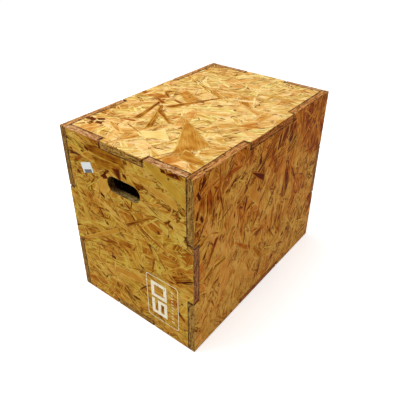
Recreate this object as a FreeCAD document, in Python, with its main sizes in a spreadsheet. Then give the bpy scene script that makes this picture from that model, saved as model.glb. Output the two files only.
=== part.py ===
"""Plyo box: a hollow jump box of six finger-jointed OSB boards, nailed and glued round a centre brace.

Millimetres, +Z up, origin at the middle of the face it rests on. The hand slots are in the -Y and +Y ends.
Every edge of the box is shared in three fingers: the board that owns the middle one has a tab there, and
the board that owns the outer two has a notch of the same length. The side panels own all eight corners.
"""
import FreeCAD, Part

import math
import os

import Sketcher

# Driving dimensions: alias, value, meaning
SIZES = (
    ("width", 400, "outside of the box along X"),
    ("depth", 600, "outside of the box along Y, between the hand slot ends"),
    ("height", 500, "outside of the box along Z"),
    ("board", 18, "thickness of the OSB boards"),
    ("width_tab", 133, "length of the tabs in the edges along X"),
    ("depth_tab", 200, "length of the tabs in the edges along Y"),
    ("height_tab", 166, "length of the tabs in the edges along Z"),
    ("finger_gap", 0.3, "clearance at each end of a tab in its notch"),
    ("finger_corner", 5, "radius on the free corners of the tabs and of the notches' mouths"),
    ("arris", 1.5, "radius sanded on the outer edges of the finished box"),
    ("slot_length", 100, "overall length of a hand slot"),
    ("slot_height", 40, "height of a hand slot, which has half-round ends"),
    ("slot_drop", 100, "from the top of the box to the middle of a hand slot"),
    ("slot_round", 2, "radius routed on both rims of a hand slot"),
    ("brace_board", 18, "thickness of the centre brace"),
    ("brace_gap", 0.2, "glue line between the brace and the boards round it"),
    ("nail_length", 45, "nail from the top of its head to its point"),
    ("nail_shank", 1.8, "diameter of a nail's shank"),
    ("nail_head", 3, "diameter of a nail's head, driven flush"),
    ("nail_head_depth", 1.2, "thickness of a nail's head"),
    ("nail_point", 4, "length of a nail's tapered point"),
    ("nail_spacing", 60, "between the two nails of one finger"),
    ("brace_nail_spacing", 120, "between the three nails of each edge of the brace"),
    ("label_length", 38, "long side of the paper label"),
    ("label_height", 27, "short side of the paper label"),
    ("label_film", 0.2, "thickness of the label with its glue"),
    ("label_tilt", 20, "turn of the label, in degrees"),
    ("label_inset", 81, "from the left edge of the front to the middle of the label"),
    ("label_drop", 86, "from the top of the box to the middle of the label"),
)

# Middle of each outer face from the box's origin, and the turn that points the face's own Z outwards
FACES = {
    "top": (("0", "0", "Box.height"), FreeCAD.Rotation(0, 0, 0)),
    "bottom": (("0", "0", "0"), FreeCAD.Rotation(0, 0, 180)),
    "front": (("0", "-Box.depth / 2", "Box.height / 2"), FreeCAD.Rotation(0, 0, 90)),
    "right": (("Box.width / 2", "0", "Box.height / 2"), FreeCAD.Rotation(90, 0, 90)),
    "rear": (("0", "Box.depth / 2", "Box.height / 2"), FreeCAD.Rotation(180, 0, 90)),
    "left": (("-Box.width / 2", "0", "Box.height / 2"), FreeCAD.Rotation(270, 0, 90)),
}

# Edges of the boards that lie between other boards, measured from the middle of the box
SIDE_EDGE = "Box.width / 2 - Box.board"
END_EDGE = "Box.depth / 2 - Box.board"

# A tab or a notch is drawn astride its edge, so that one board's thickness of it counts
ASTRIDE = "2 * Box.board"

# Middle of an outer finger, measured from the middle of its edge along the board that it is nailed to
WIDTH_FINGER = "(Box.width / 2 - Box.board + Box.width_tab / 2) / 2"
DEPTH_FINGER = "(Box.depth / 2 - Box.board + Box.depth_tab / 2) / 2"
HEIGHT_FINGER = "(Box.height / 2 + Box.height_tab / 2) / 2"

doc = FreeCAD.newDocument("PlyoBox")


def write_sheet():
    """Puts the driving dimensions into a spreadsheet, where every size of the model is bound to them."""
    sheet = doc.addObject("Spreadsheet::Sheet", "Box")
    for row, (alias, size, meaning) in enumerate(SIZES, 1):
        sheet.set(f"A{row}", alias)
        sheet.set(f"B{row}", str(size))
        sheet.setAlias(f"B{row}", alias)
        sheet.set(f"C{row}", meaning)
    doc.recompute()


def bind(thing, path, lengths):
    """Binds the x, y and z of a placement's base to three expressions."""
    for axis, length in zip("xyz", lengths):
        thing.setExpression(f"{path}.Base.{axis}", length)


def new_body(name, face):
    """A body in the frame of one outer face: its Z points out of the box, its wood lies below zero."""
    middle, turn = FACES[face]
    body = doc.addObject("PartDesign::Body", name)
    body.Label = name
    body.Placement = FreeCAD.Placement(FreeCAD.Vector(), turn)
    bind(body, "Placement", middle)
    return body


def origin_feature(body, role):
    """One of the body's own origin planes or axes."""
    return next(feature for feature in body.Origin.OriginFeatures if feature.Role == role)


def attach(body, feature, right, up, out="0"):
    """Lays a sketch or a primitive on the body's XY plane, at a place given by expressions."""
    feature.AttachmentSupport = [(origin_feature(body, "XY_Plane"), "")]
    feature.MapMode = "FlatFace"
    bind(feature, "AttachmentOffset", (right, up, out))


def new_sketch(body, name, right="0", up="0"):
    """An empty sketch in the body's outer face, with its origin at the place given."""
    sketch = body.newObject("Sketcher::SketchObject", name)
    attach(body, sketch, right, up)
    return sketch


def bind_constraint(sketch, constraint, expression):
    """Adds a dimension to a sketch and binds it to the sheet."""
    sketch.setExpression(f"Constraints[{sketch.addConstraint(constraint)}]", expression)


def draw_rectangle(sketch, across, along):
    """Draws a rectangle about the sketch's origin."""
    corners = [FreeCAD.Vector(x, y) for x, y in ((-1, -1), (1, -1), (1, 1), (-1, 1))]
    for line in range(4):
        sketch.addGeometry(Part.LineSegment(corners[line], corners[(line + 1) % 4]))
    for line in range(4):
        sketch.addConstraint(Sketcher.Constraint("Coincident", line, 2, (line + 1) % 4, 1))
        sketch.addConstraint(Sketcher.Constraint("Vertical" if line % 2 else "Horizontal", line))
    sketch.addConstraint(Sketcher.Constraint("Symmetric", 0, 1, 1, 2, -1, 1))
    bind_constraint(sketch, Sketcher.Constraint("DistanceX", 0, 1, 0, 2, 2), across)
    bind_constraint(sketch, Sketcher.Constraint("DistanceY", 1, 1, 1, 2, 2), along)


def draw_slot(sketch, length, height):
    """Draws a slot with half-round ends about the sketch's origin."""
    right, left, up = FreeCAD.Vector(2, 0), FreeCAD.Vector(-2, 0), FreeCAD.Vector(0, 1)
    normal, quarter = FreeCAD.Vector(0, 0, 1), math.pi / 2
    sketch.addGeometry(Part.ArcOfCircle(Part.Circle(right, normal, 1), -quarter, quarter))
    sketch.addGeometry(Part.LineSegment(right + up, left + up))
    sketch.addGeometry(Part.ArcOfCircle(Part.Circle(left, normal, 1), quarter, 3 * quarter))
    sketch.addGeometry(Part.LineSegment(left - up, right - up))
    for piece in range(4):
        sketch.addConstraint(Sketcher.Constraint("Tangent", piece, 2, (piece + 1) % 4, 1))
    sketch.addConstraint(Sketcher.Constraint("Equal", 0, 2))
    sketch.addConstraint(Sketcher.Constraint("Horizontal", 1))
    sketch.addConstraint(Sketcher.Constraint("Symmetric", 0, 3, 2, 3, -1, 1))
    bind_constraint(sketch, Sketcher.Constraint("Radius", 0, 1), f"{height} / 2")
    bind_constraint(sketch, Sketcher.Constraint("DistanceX", 2, 3, 0, 3, 4), f"{length} - {height}")


def add_pad(body, sketch, thickness, outwards=False):
    """Raises a sketch into wood below the outer face, or into a film above it."""
    pad = body.newObject("PartDesign::Pad", sketch.Name + "_pad")
    pad.Profile = sketch
    pad.Reversed = not outwards
    pad.setExpression("Length", thickness)
    return pad


def cut_pocket(body, sketch, thickness):
    """Cuts a sketch down from the outer face, and makes sure that wood went."""
    doc.recompute()
    before = body.Shape.Volume
    pocket = body.newObject("PartDesign::Pocket", sketch.Name + "_pocket")
    pocket.Profile = sketch
    pocket.setExpression("Length", thickness)
    doc.recompute()
    if not body.Shape.Volume < before:
        raise RuntimeError(f"{pocket.Name} cuts nothing")
    return pocket


def mirror(body, features, roles, row=None):
    """Repeats features in a straight row, if one is given, and then on the far side of origin planes."""
    pattern = body.newObject("PartDesign::MultiTransform", features[-1].Name + "_copies")
    pattern.Originals = features
    steps = [row] if row else []
    for role in roles:
        step = body.newObject("PartDesign::Mirrored", f"{pattern.Name}_{role}")
        step.MirrorPlane = (origin_feature(body, role), [""])
        steps.append(step)
    pattern.Transformations = steps
    body.Tip = pattern


def make_tabs(body, name, place, size, role):
    """Adds a tab astride one edge of the board, and its twin on the opposite edge."""
    sketch = new_sketch(body, name, *place)
    draw_rectangle(sketch, *size)
    mirror(body, [add_pad(body, sketch, "Box.board")], [role])


def make_notches(body, name, place, size, role):
    """Cuts a notch astride one edge of the board, and its twin in the opposite edge."""
    sketch = new_sketch(body, name, *place)
    draw_rectangle(sketch, *size)
    mirror(body, [cut_pocket(body, sketch, "Box.board")], [role])


def make_board(node, face, across, along):
    """A plain rectangular board under one outer face of the box."""
    body = new_body(node + "_board", face)
    sketch = new_sketch(body, node + "_outline")
    draw_rectangle(sketch, across, along)
    add_pad(body, sketch, "Box.board")
    return body


def round_fingers(body, node, across, along):
    """Rounds the free corners of tabs and notches, which lie on the face's outline but not at its corners."""
    doc.recompute()
    right, up = (doc.Box.get(size) / 2 for size in (across, along))
    end_reach, side_reach = ((doc.Box.get(size + "_tab") + doc.Box.board) / 2 for size in (across, along))
    corners = []
    for number, edge in enumerate(body.Tip.Shape.Edges, 1):
        upright = edge.BoundBox.ZLength > edge.Length / 2
        x, y = abs(edge.CenterOfMass.x), abs(edge.CenterOfMass.y)
        on_side = math.isclose(x, right) and y < side_reach
        on_end = math.isclose(y, up) and x < end_reach
        if upright and (on_side or on_end):
            corners.append(f"Edge{number}")
    fillet = body.newObject("PartDesign::Fillet", node + "_finger_corners")
    fillet.Base = (fillet.BaseFeature, corners)
    fillet.setExpression("Radius", "Box.finger_corner")


def top_or_bottom(node, face):
    """Top or bottom panel: it lies inside the four walls and has a tab in each edge."""
    body = make_board(node, face, f"2 * ({SIDE_EDGE})", f"2 * ({END_EDGE})")
    make_tabs(body, node + "_side_tab", (SIDE_EDGE, "0"), (ASTRIDE, "Box.depth_tab"), "YZ_Plane")
    make_tabs(body, node + "_end_tab", ("0", END_EDGE), ("Box.width_tab", ASTRIDE), "XZ_Plane")
    round_fingers(body, node, "width", "depth")
    return body


def front_or_rear(node, face):
    """End panel: tabs in its upright edges, notches in its top and bottom edges, and a hand slot."""
    body = make_board(node, face, f"2 * ({SIDE_EDGE})", "Box.height")
    make_tabs(body, node + "_side_tab", (SIDE_EDGE, "0"), (ASTRIDE, "Box.height_tab"), "YZ_Plane")
    notch = "Box.width_tab + 2 * Box.finger_gap"
    make_notches(body, node + "_notch", ("0", "Box.height / 2"), (notch, ASTRIDE), "XZ_Plane")
    round_fingers(body, node, "width", "height")
    cut_hand_slot(body, node)
    return body


def cut_hand_slot(body, node):
    """Cuts the hand slot and rounds both of its rims."""
    sketch = new_sketch(body, node + "_slot", "0", "Box.height / 2 - Box.slot_drop")
    draw_slot(sketch, "Box.slot_length", "Box.slot_height")
    pocket = cut_pocket(body, sketch, "Box.board")
    middle, reach = sketch.Shape.BoundBox.Center, sketch.Shape.BoundBox.DiagonalLength / 2
    rims = []
    for number, edge in enumerate(pocket.Shape.Edges, 1):
        offset = edge.CenterOfMass - middle
        level = edge.BoundBox.ZLength < edge.Length / 2
        if level and math.hypot(offset.x, offset.y) < reach:
            rims.append(f"Edge{number}")
    fillet = body.newObject("PartDesign::Fillet", node + "_slot_rims")
    fillet.Base = (pocket, rims)
    fillet.setExpression("Radius", "Box.slot_round")


def side(node, face):
    """Side panel: the full size of its face, with a notch in each edge."""
    body = make_board(node, face, "Box.depth", "Box.height")
    upright, level = "Box.height_tab + 2 * Box.finger_gap", "Box.depth_tab + 2 * Box.finger_gap"
    make_notches(body, node + "_upright_notch", ("Box.depth / 2", "0"), (ASTRIDE, upright), "YZ_Plane")
    make_notches(body, node + "_level_notch", ("0", "Box.height / 2"), (level, ASTRIDE), "XZ_Plane")
    round_fingers(body, node, "depth", "height")
    return body


def add_nail(body, name, right, up):
    """One nail with its head flush in the outer face: head, shank and point."""
    head = body.newObject("PartDesign::AdditiveCylinder", name + "_head")
    attach(body, head, right, up, "-Box.nail_head_depth")
    head.setExpression("Radius", "Box.nail_head / 2")
    head.setExpression("Height", "Box.nail_head_depth")
    shank = body.newObject("PartDesign::AdditiveCylinder", name + "_shank")
    attach(body, shank, right, up, "Box.nail_point - Box.nail_length")
    shank.setExpression("Radius", "Box.nail_shank / 2")
    shank.setExpression("Height", "Box.nail_length - Box.nail_point - Box.nail_head_depth")
    point = body.newObject("PartDesign::AdditiveCone", name + "_point")
    attach(body, point, right, up, "-Box.nail_length")
    point.Radius1 = 0
    point.setExpression("Radius2", "Box.nail_shank / 2")
    point.setExpression("Height", "Box.nail_point")
    return [head, shank, point]


def nail_row(body, name, direction, spacing, count):
    """The pattern that repeats a nail along X or Y of its face."""
    row = body.newObject("PartDesign::LinearPattern", name + "_row")
    row.Direction = (origin_feature(body, direction), [""])
    row.Mode = "Spacing"
    row.setExpression("Offset", spacing)
    row.Occurrences = count
    return row


def nail_edges(body, name, edges, finger, level):
    """Nails the four outer fingers, or with no finger given the two tabs, of a pair of opposite edges."""
    along = f"{finger} - Box.nail_spacing / 2" if finger else "Box.nail_spacing / 2"
    right, up, direction = (along, edges, "X_Axis") if level else (edges, along, "Y_Axis")
    nail = add_nail(body, name, right, up)
    row = nail_row(body, name, direction, "Box.nail_spacing", 2) if finger else None
    mirror(body, nail, ["YZ_Plane", "XZ_Plane"], row)


def nail_brace(body, name, direction):
    """Three nails in a row across the middle of the face, into the edge of the brace."""
    first = "-Box.brace_nail_spacing"
    right, up = (first, "0") if direction == "X_Axis" else ("0", first)
    nail = add_nail(body, name, right, up)
    mirror(body, nail, [], nail_row(body, name, direction, "Box.brace_nail_spacing", 3))


def nails(node, face):
    """All the nails driven through one panel: two in each finger, and those that hold the brace."""
    body = new_body(node, face)
    body.AllowCompound = True
    across, deep, high = (f"Box.{size} / 2 - Box.board / 2" for size in ("width", "depth", "height"))
    if face in ("top", "bottom"):
        nail_edges(body, node + "_side", across, None, level=False)
        nail_edges(body, node + "_end", deep, None, level=True)
        nail_brace(body, node + "_brace", "X_Axis")
    elif face in ("front", "rear"):
        nail_edges(body, node + "_side", across, None, level=False)
        nail_edges(body, node + "_level", high, WIDTH_FINGER, level=True)
    else:
        nail_edges(body, node + "_upright", deep, HEIGHT_FINGER, level=False)
        nail_edges(body, node + "_level", high, DEPTH_FINGER, level=True)
        nail_brace(body, node + "_brace", "Y_Axis")
    return body


def brace(node):
    """Board across the middle of the hollow, which carries the faces that are jumped on."""
    body = new_body(node + "_board", "front")
    bind(body, "Placement", ("0", "-Box.brace_board / 2", "Box.height / 2"))
    sketch = new_sketch(body, node + "_outline")
    inside = "2 * Box.board - 2 * Box.brace_gap"
    draw_rectangle(sketch, f"Box.width - {inside}", f"Box.height - {inside}")
    add_pad(body, sketch, "Box.brace_board")
    return body


def label(node):
    """Paper label on the front panel."""
    body = new_body(node, "front")
    right, up = "Box.label_inset - Box.width / 2", "Box.height / 2 - Box.label_drop"
    sketch = new_sketch(body, node + "_outline", right, up)
    sketch.setExpression("AttachmentOffset.Rotation.Angle", "Box.label_tilt")
    draw_rectangle(sketch, "Box.label_length", "Box.label_height")
    add_pad(body, sketch, "Box.label_film", outwards=True)
    return body


def envelope():
    """The whole box as one block with its outer edges sanded round."""
    body = new_body("envelope", "top")
    sketch = new_sketch(body, "envelope_outline")
    draw_rectangle(sketch, "Box.width", "Box.depth")
    pad = add_pad(body, sketch, "Box.height")
    fillet = body.newObject("PartDesign::Fillet", "envelope_arrises")
    fillet.Base = (pad, [""])
    fillet.UseAllEdges = True
    fillet.setExpression("Radius", "Box.arris")
    return body


def boolean(kind, name, base, tool):
    """A boolean of two objects of the document."""
    result = doc.addObject(kind, name)
    result.Label = name
    result.Base = base
    result.Tool = tool
    return result


def build():
    """Makes every sub-part and returns them by node name."""
    write_sheet()
    nail_groups = {
        node: nails(node, face)
        for node, face in (
            ("left_side_nails", "left"),
            ("right_side_nails", "right"),
            ("front_panel_nails", "front"),
            ("rear_panel_nails", "rear"),
            ("top_panel_nails", "top"),
            ("bottom_panel_nails", "bottom"),
        )
    }
    all_nails = doc.addObject("Part::Compound", "all_nails")
    all_nails.Links = list(nail_groups.values())
    block = envelope()
    boards = {
        "left_side_panel": side("left_side_panel", "left"),
        "right_side_panel": side("right_side_panel", "right"),
        "front_panel": front_or_rear("front_panel", "front"),
        "rear_panel": front_or_rear("rear_panel", "rear"),
        "top_panel": top_or_bottom("top_panel", "top"),
        "bottom_panel": top_or_bottom("bottom_panel", "bottom"),
    }
    nodes = {}
    for node, board in boards.items():
        sanded = boolean("Part::Common", node + "_sanded", board, block)
        nodes[node] = boolean("Part::Cut", node, sanded, all_nails)
    nodes["centre_brace"] = boolean("Part::Cut", "centre_brace", brace("centre_brace"), all_nails)
    nodes["blank_label"] = label("blank_label")
    nodes.update(nail_groups)
    doc.recompute()
    return nodes


def check(nodes):
    """Stops if anything in the document failed, or if a sub-part has no sound shape."""
    for thing in doc.Objects:
        if {"Invalid", "Error"} & set(thing.State):
            raise RuntimeError(f"{thing.Label} failed: {thing.State}")
    for node, thing in nodes.items():
        if thing.Label != node or thing.Shape.isNull() or not thing.Shape.isValid():
            raise RuntimeError(f"{node} has no sound shape")


def write(nodes):
    """Writes each sub-part to its own file."""
    os.makedirs("parts", exist_ok=True)
    for node, thing in nodes.items():
        thing.Shape.exportStep(f"parts/{node}.step")
        print(node, len(thing.Shape.Solids), "solids,", round(thing.Shape.Volume / 1000, 2), "cm3")


sub_parts = build()
check(sub_parts)
write(sub_parts)
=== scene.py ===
"""Looks of a wooden plyo box: strand boards with finger joints, nails, a blank label and a height number."""

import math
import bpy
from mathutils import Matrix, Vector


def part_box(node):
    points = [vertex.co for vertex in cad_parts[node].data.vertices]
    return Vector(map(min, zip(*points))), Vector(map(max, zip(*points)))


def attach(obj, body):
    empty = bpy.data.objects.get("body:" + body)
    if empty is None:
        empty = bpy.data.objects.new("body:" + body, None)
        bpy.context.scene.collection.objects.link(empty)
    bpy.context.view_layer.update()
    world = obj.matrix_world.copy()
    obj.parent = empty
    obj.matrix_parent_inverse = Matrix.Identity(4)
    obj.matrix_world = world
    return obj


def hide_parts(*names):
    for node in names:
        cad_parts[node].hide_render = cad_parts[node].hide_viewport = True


bl_info = {
    "name": "Plyo box",
    "version": (1, 0, 0),
    "blender": (4, 5, 0),
    "location": "3D view, sidebar, Plyo box tab",
    "description": "Models the boards, nails, label and number of a wooden plyo box, and its studio stage",
    "category": "Object",
}

import bmesh
import bpy
from bpy.props import FloatProperty, FloatVectorProperty, PointerProperty
from mathutils import Euler, Matrix, Vector

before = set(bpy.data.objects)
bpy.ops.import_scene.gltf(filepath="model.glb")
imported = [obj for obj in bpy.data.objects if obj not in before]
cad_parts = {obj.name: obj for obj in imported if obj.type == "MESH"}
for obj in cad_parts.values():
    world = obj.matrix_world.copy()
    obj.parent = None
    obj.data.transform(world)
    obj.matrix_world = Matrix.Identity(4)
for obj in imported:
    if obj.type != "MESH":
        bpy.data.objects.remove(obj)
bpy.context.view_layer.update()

MM = 0.001
TINY = 1e-5

# Wood that the two boards of a pair share: their tint among the colours, how far the tones of the strands
# spread, how much paler they all are, the tints of the sawn ends and sides, and how much heartwood there is.
LANDING = {"tint": "top_tint", "spread": 0.85, "pale": -0.07, "edge": ("#f1c387", "#e6e8a5")}
END = {"tint": "front_tint", "spread": 0.9, "pale": -0.10, "edge": ("#dac5bb", "#ffffff"), "heart": 0.14}
SIDE = {"tint": "side_tint", "spread": 1.1, "pale": -0.09, "heart": 0.18}
# Wood that is the same all over a board, with no strand listed one by one.
PLAIN = {"warm": (0.0, 0.0), "fade": (0.0, 0.0), "laid": ()}

# Each board: the turn in degrees that brings it from the bench, outer face up, to its place in the box, its
# slot in the record, and its own wood: the seed of its pattern, the way most strands lie in degrees, the
# share of spots with a knot, and how much more heartwood (warm) and paler tone (fade) a metre along and
# across brings; on the right board these two slopes are painted shade, darker and warmer towards its top
# and back. Large strands, chips and knots that stand out on a board are laid one by one: middle from the
# board's own middle, turn in degrees, length, width, taper towards the start, and tone from 0, bark, to 1,
# sapwood. Lengths are in millimetres.
BOARDS = {
    "top_panel": {
        **PLAIN, **LANDING, "stand": (0, 0, 0), "slot": "osb_top",
        "seed": 1, "lie": 40, "knots": 0.06, "heart": 0.10, "fade": (0.48, 0.05),
        "laid": (
            (5, -201, 34, 66, 40, 0.9, 0.94),
            (71, 135, -8, 94, 9, 0.6, 0.30),
            (128, -46, 27, 105, 10, 0.5, 0.28),
            (101, 54, -22, 77, 12, 0.8, 0.34),
            (-77, 24, -28, 75, 34, 0.4, 0.30),
            (65, -144, -45, 176, 44, 1.9, 0.27),
            (149, -236, -7, 70, 30, -0.8, 0.24),
            (-101, -94, 103, 137, 14, -0.6, 0.14),
            (-59, -123, 119, 132, 15, -0.5, 0.15),
            (-38, -113, -30, 84, 14, -0.4, 0.14),
            (-122, -39, -24, 61, 11, 0.3, 0.14),
            (-126, -3, -33, 40, 8, 0.0, 0.02),
            (-63, -22, -11, 60, 10, 0.0, 0.18),
            (-30, 18, 63, 185, 13, -1.3, 0.14),
            (-47, -206, -16, 63, 3, -0.5, 0.05),
            (90, -251, 62, 60, 3, 0.0, 0.05),
            (-180, -233, 20, 19, 12, 0.0, -0.2),
            (-165, -229, -10, 22, 12, 0.0, -0.2),
            (-147, -217, 40, 18, 12, 0.0, -0.2),
            (-137, -234, 10, 18, 12, 0.0, -0.2),
            (-153, -243, -30, 15, 9, 0.0, -0.1),
            (-140, 18, 60, 20, 9, 0.0, -0.1),
            (28, 27, 15, 16, 5, 0.0, -0.2),
        ),
    },
    "bottom_panel": {
        **PLAIN, **LANDING, "stand": (180, 0, 0), "slot": "osb_bottom",
        "seed": 2, "lie": 70, "knots": 0.1, "heart": 0.12,
    },
    "front_panel": {
        **PLAIN, **END, "stand": (90, 0, 0), "slot": "osb_front",
        "seed": 3, "lie": 0, "knots": 0.18,
        "laid": (
            (-52, 223, 0, 120, 30, 0.6, 0.26),
            (-45, 197, 9, 90, 26, -0.5, 0.30),
            (128, 221, -29, 128, 30, 0.3, 0.72),
            (120, 180, -11, 79, 20, 0.5, 0.78),
            (-19, 191, -18, 32, 22, 1.5, 0.12),
            (148, 243, 11, 36, 12, 0.8, 0.05),
            (53, 178, 20, 30, 18, -1.0, 0.08),
            (-137, 4, -17, 100, 14, 0.5, 0.64),
            (-100, -24, 33, 170, 13, 0.5, 0.60),
            (46, 84, 35, 117, 9, -0.9, 0.16),
            (119, 97, -26, 30, 18, 0.8, 1.15),
            (163, 95, -37, 26, 18, 1.2, 1.15),
            (176, 80, -40, 17, 12, 0.0, 1.15),
            (123, 243, 0, 13, 8, 0.0, -0.2),
            (-59, 162, 20, 18, 10, 0.0, -0.2),
            (8, 187, -26, 13, 8, 0.0, -0.2),
            (-75, 105, -25, 16, 8, 0.0, -0.2),
            (126, 116, 35, 13, 8, 0.0, -0.1),
            (138, 112, -20, 14, 8, 0.0, -0.1),
            (133, 123, 60, 11, 6, 0.0, -0.2),
            (-62, -81, -12, 13, 7, 0.0, -0.2),
            (-111, 218, -26, 13, 9, 0.0, -0.2),
            (11, -183, 0, 26, 8, 0.0, -0.1),
            (161, -149, -42, 28, 10, 0.0, 0.0),
        ),
    },
    "rear_panel": {
        **PLAIN, **END, "stand": (90, 0, 180), "slot": "osb_rear",
        "seed": 4, "lie": 20, "knots": 0.16,
    },
    "left_side_panel": {
        **PLAIN, **SIDE, "stand": (90, 0, 270), "slot": "osb_left", "edge": ("#c8cb98", "#fff8e0"),
        "seed": 5, "lie": 75, "knots": 0.14, "warm": (0.0, 0.3),
    },
    "right_side_panel": {
        **PLAIN, **SIDE, "stand": (90, 0, 90), "slot": "osb_right", "edge": ("#dce0a5", "#f6e2bc"),
        # Painted shade: warm and fade make this board darker and warmer towards its top and back.
        "seed": 6, "lie": 75, "knots": 0.12, "warm": (0.3, 0.8), "fade": (-0.2, -0.2),
        "laid": (
            (-54, 147, -35, 78, 15, 1.0, 0.17),
            (-206, 162, -75, 80, 9, 0.5, 0.24),
            (-211, 224, -87, 57, 8, 0.0, 0.26),
            (-64, 95, -45, 78, 28, 0.4, 0.70),
            (-110, -31, -43, 84, 14, 0.8, 0.36),
            (-25, -111, -53, 91, 18, 0.4, 0.38),
            (-235, 29, 60, 80, 12, 0.5, 0.26),
            (-24, 8, 68, 35, 5, 0.0, -0.1),
            (-282, 205, -64, 22, 8, 0.0, -0.2),
            (-272, 144, -62, 18, 8, 0.0, -0.2),
        ),
    },
}
BRACE_WOOD = {**PLAIN, "seed": 9, "lie": 10, "spread": 1.0, "pale": 0.0, "knots": 0.15, "heart": 0.15}


def linear(code):
    """An sRGB hex colour as linear red, green, blue and alpha."""
    shares = [int(code[i : i + 2], 16) / 255 for i in (1, 3, 5)]
    return [s / 12.92 if s <= 0.04045 else ((s + 0.055) / 1.055) ** 2.4 for s in shares] + [1.0]


def length(name, description, millimetres):
    """A length that a user may change, with its default in millimetres."""
    return FloatProperty(
        name=name, description=description, default=millimetres * MM, unit="LENGTH", precision=4
    )


def angle(name, description, degrees):
    """An angle that a user may change, with its default in degrees."""
    return FloatProperty(name=name, description=description, default=math.radians(degrees), subtype="ANGLE")


def colour(name, description, code):
    """A colour that a user may change, with its default as an sRGB hex value."""
    return FloatVectorProperty(
        name=name, description=description, default=linear(code)[:3], subtype="COLOR", min=0, max=1
    )


def amount(name, description, default, unit="NONE"):
    """Any other number that a user may change."""
    return FloatProperty(name=name, description=description, default=default, unit=unit)


class PlyoSizes(bpy.types.PropertyGroup):
    """Sizes of the pieces, as the box was built."""

    width_tab: length("Tab across", "Length of a tab on the edges that run across the box", 133)
    depth_tab: length("Tab along", "Length of a tab on the edges that run along the box", 200)
    height_tab: length("Upright tab", "Length of a tab on the upright edges", 166)
    finger_gap: length("Finger gap", "Play at each end of a tab in its notch", 0.3)
    finger_corner: length("Finger corner", "Rounding of the free corners of tabs and fingers", 5)
    arris: length("Arris", "Rounding of the board edges on the outside of the box", 1.5)
    slot_length: length("Hand slot length", "Length of the hand slot", 100)
    slot_height: length("Hand slot height", "Height of the hand slot", 40)
    slot_drop: length("Hand slot drop", "From the top of the box to the middle of the hand slot", 100)
    slot_round: length("Hand slot rounding", "Rounding of the rims of the hand slot", 2)
    nail_length: length("Nail length", "Length of a nail from head to point", 45)
    nail_shank: length("Nail shank", "Diameter of a nail's shank", 1.8)
    nail_head: length("Nail head", "Diameter of a nail's head", 3)
    nail_head_depth: length("Nail head depth", "Depth of a nail's head", 1.2)
    nail_crown: length("Nail crown", "How far the crown of a head stands out of the board", 0.2)
    label_length: length("Label length", "Long side of the paper label", 38)
    label_height: length("Label height", "Short side of the paper label", 27)
    label_inset: length("Label inset", "From the left edge of the front to the middle of the label", 81)
    label_drop: length("Label drop", "From the top of the front to the middle of the label", 86)
    label_tilt: angle("Label tilt", "Turn of the label on the board", 20)
    mark_cell: length("Digit stroke", "Stroke of the number, a fifth of its height", 10)
    mark_line: length("Frame line", "Line of the frame round the number", 1.7)


class PlyoColours(bpy.types.PropertyGroup):
    """Colours of the boards and of what is on them."""

    top_tint: colour("Top board", "Tint of the landing board", "#f8f6fb")
    front_tint: colour("End board", "Tint of the two end boards", "#dece8e")
    side_tint: colour("Side board", "Tint of the two side boards", "#ecc894")
    paint: colour("Paint", "Paint of the number and its frame", "#fdf3d4")
    paper: colour("Paper", "Paper of the label", "#f6faf9")
    print_grey: colour("Print", "Grey band on the label", "#6a6c6c")
    steel: colour("Steel", "Drawn steel of the nails", "#7a6448")
    floor: colour("Floor", "Studio floor and backdrop", "#f6f6f6")


class PlyoStage(bpy.types.PropertyGroup):
    """The camera and the lamps."""

    azimuth: angle("Azimuth", "Turn of the camera round the box, from the front", 36.84)
    elevation: angle("Elevation", "Tilt of the camera down to the box", 32.72)
    roll: angle("Roll", "Roll of the camera", 0.81)
    camera_x: amount("Camera X", "Place of the camera", 0.6584, "LENGTH")
    camera_y: amount("Camera Y", "Place of the camera", -0.8673, "LENGTH")
    camera_z: amount("Camera Z", "Place of the camera", 0.955, "LENGTH")
    lens: amount("Lens", "Focal length on a 36 mm sensor", 41.05, "CAMERA")
    shift_x: amount("Shift X", "Shift of the picture, in widths of it", -0.0186)
    shift_y: amount("Shift Y", "Shift of the picture, in widths of it", -0.0320)
    key_power: amount("Key lamp", "Power of the lamp above the box", 40, "POWER")
    fill_power: amount("Fill lamp", "Power of the front lamp", 6, "POWER")
    sky: amount("Room light", "Strength of the light from all round", 0.5)
    glow: amount("Floor glow", "How much the floor is whitened for the camera", 0.55)


# Node trees


def fill(tree, node, inputs):
    """Gives a node's inputs, by name or in the order of those in use, a value, socket or node."""
    if isinstance(inputs, dict):
        pairs = ((node.inputs[name], value) for name, value in inputs.items())
    else:
        pairs = zip([socket for socket in node.inputs if socket.enabled], inputs)
    for socket, value in pairs:
        if isinstance(value, bpy.types.Node):
            value = next(output for output in value.outputs if output.enabled)
        if isinstance(value, bpy.types.NodeSocket):
            tree.links.new(value, socket)
        else:
            socket.default_value = value


def add_node(tree, kind, inputs=(), operation=None, stops=(), **settings):
    """Adds a node with its settings and links. Stops are the places and sRGB hex colours of a ramp."""
    node = tree.nodes.new(kind if kind.startswith("NodeGroup") else f"ShaderNode{kind}")
    if operation:
        node.operation = operation
    for name, value in settings.items():
        setattr(node, name, value)
    fill(tree, node, inputs)
    if stops:
        elements = node.color_ramp.elements
        while len(elements) < len(stops):
            elements.new(0.5)
        for element, (at, code) in zip(elements, stops):
            element.position = at
            element.color = linear(code)
    return node


def new_material(name):
    """An empty node material with its surface shader."""
    material = bpy.data.materials.new(name)
    material.use_nodes = True
    tree = material.node_tree
    tree.nodes.clear()
    shader = add_node(tree, "BsdfPrincipled")
    add_node(tree, "OutputMaterial", (shader,))
    return material, tree, shader


def bench_vector(tree, place):
    """Object coordinates turned back to the bench: along and across the board, and up from its outer face."""
    coordinates = add_node(tree, "TexCoord").outputs["Object"]
    return add_node(
        tree, "Mapping", (coordinates, place.translation, place.to_euler()), vector_type="TEXTURE"
    )


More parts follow.
